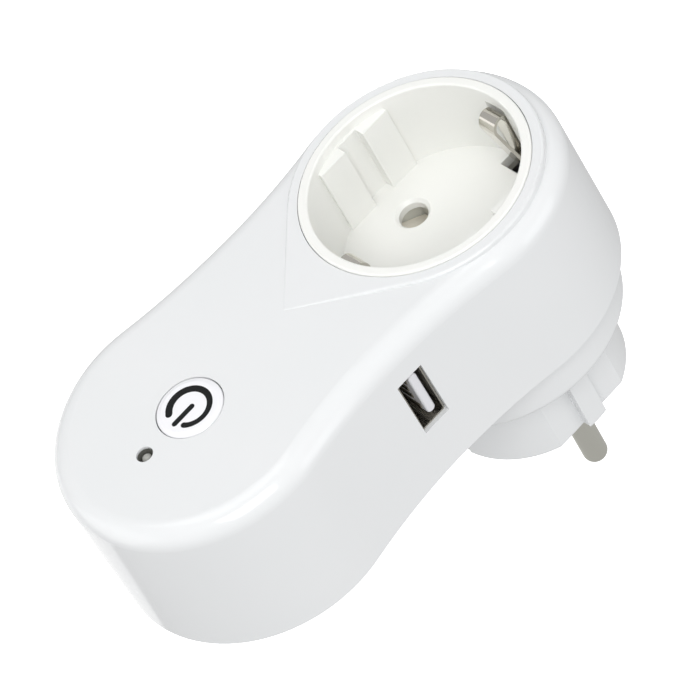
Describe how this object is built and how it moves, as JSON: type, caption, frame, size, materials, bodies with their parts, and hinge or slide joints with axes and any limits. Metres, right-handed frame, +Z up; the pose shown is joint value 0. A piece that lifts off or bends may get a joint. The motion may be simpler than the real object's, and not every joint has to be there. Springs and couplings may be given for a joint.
{
  "type": "smart plug",
  "caption": "White plug-in socket adapter with a waisted body, a round earthed socket, a power button, a status light and a side charging port.",
  "frame": {"origin": "middle of the plug front face, between the two pins", "axes": "+Y into the wall along the pins, +Z up towards the button end, +X to the right as seen from the room"},
  "size_m": [0.0542, 0.0803, 0.1107],
  "materials": {
    "shell": "glossy moulded",
    "insert": "semi-gloss moulded",
    "button": "glossy moulded",
    "symbol": "printed",
    "dark_moulding": "moulded",
    "light_pipe": "clear moulded",
    "led": "moulded",
    "circuit_board": "solder mask",
    "relay_case": "moulded",
    "ferrite": "sintered",
    "winding_tape": "taped",
    "capacitor_sleeve": "shrunk sleeve",
    "film_box": "moulded",
    "varistor_coat": "dipped",
    "fuse_body": "moulded",
    "module_board": "solder mask",
    "tinned_steel": "tinned",
    "usb_steel": "nickel plated",
    "usb_moulding": "moulded",
    "contact_gilt": "gilt",
    "carrier": "moulded",
    "shutter": "moulded",
    "spring_steel": "drawn",
    "contact_brass": "stamped",
    "clip_nickel": "nickel plated",
    "pin_nickel": "nickel plated, satin",
    "wire_brown": "extruded",
    "wire_blue": "extruded",
    "screw_zinc": "zinc plated"
  },
  "bodies": {
    "housing": {"front_housing": "shell", "rear_cover": "shell", "plug_body": "shell", "socket_insert": "insert", "socket_floor": "insert", "tact_switch_body": "dark_moulding", "status_light_pipe": "light_pipe", "status_led": "led", "control_board": "circuit_board", "main_board": "circuit_board", "board_header": "dark_moulding", "relay": "relay_case", "transformer_core": "ferrite", "transformer_winding": "winding_tape", "input_capacitor": "capacitor_sleeve", "output_capacitor": "capacitor_sleeve", "safety_capacitor": "film_box", "varistor": "varistor_coat", "fuse": "fuse_body", "bridge_rectifier": "dark_moulding", "wifi_module": "module_board", "wifi_shield_can": "tinned_steel", "usb_shell": "usb_steel", "usb_tongue": "usb_moulding", "usb_contacts": "contact_gilt", "usb_board": "circuit_board", "usb_inductor": "ferrite", "contact_carrier": "carrier", "carrier_cover": "carrier", "shutter_spring": "spring_steel", "live_socket_contact": "contact_brass", "neutral_socket_contact": "contact_brass", "earth_bar": "contact_brass", "plug_earth_contact_upper": "clip_nickel", "plug_earth_contact_lower": "clip_nickel", "live_pin": "pin_nickel", "neutral_pin": "pin_nickel", "pin_retainer": "carrier", "live_in_wire": "wire_brown", "neutral_in_wire": "wire_blue", "live_out_wire": "wire_brown", "neutral_out_wire": "wire_blue", "long_screws": "screw_zinc", "short_screws": "screw_zinc"},
    "button": {"power_button": "button", "power_symbol": "symbol"},
    "switch_plunger": {"tact_switch_plunger": "dark_moulding"},
    "shutter": {"shutter": "shutter"},
    "earth_clip_upper": {"earth_clip_upper": "clip_nickel"},
    "earth_clip_lower": {"earth_clip_lower": "clip_nickel"}
  },
  "joints": [
    {"name": "button_press", "type": "slide", "parent": "housing", "child": "button", "axis": [0, 1, 0], "range_m": [0, 0.0005], "stiffness_N_per_m": 1200, "springref_m": -0.0008},
    {"name": "switch_press", "type": "slide", "parent": "housing", "child": "switch_plunger", "axis": [0, 1, 0], "range_m": [0, 0.0005]},
    {"name": "shutter_slide", "type": "slide", "parent": "housing", "child": "shutter", "axis": [0, 0, 1], "range_m": [0, 0.0065], "stiffness_N_per_m": 100, "springref_m": -0.006, "deforming": ["shutter_spring"]},
    {"name": "upper_clip_flex", "type": "hinge", "parent": "housing", "child": "earth_clip_upper", "pos_m": [0, -0.04085, 0.0199], "axis": [-1, 0, 0], "range_deg": [0, 3], "stiffness_Nm_per_rad": 0.8},
    {"name": "lower_clip_flex", "type": "hinge", "parent": "housing", "child": "earth_clip_lower", "pos_m": [0, -0.04085, -0.0199], "axis": [1, 0, 0], "range_deg": [0, 3], "stiffness_Nm_per_rad": 0.8}
  ],
  "couplings": [
    {"joint": "switch_press", "follows": "button_press", "ratio": 1}
  ]
}
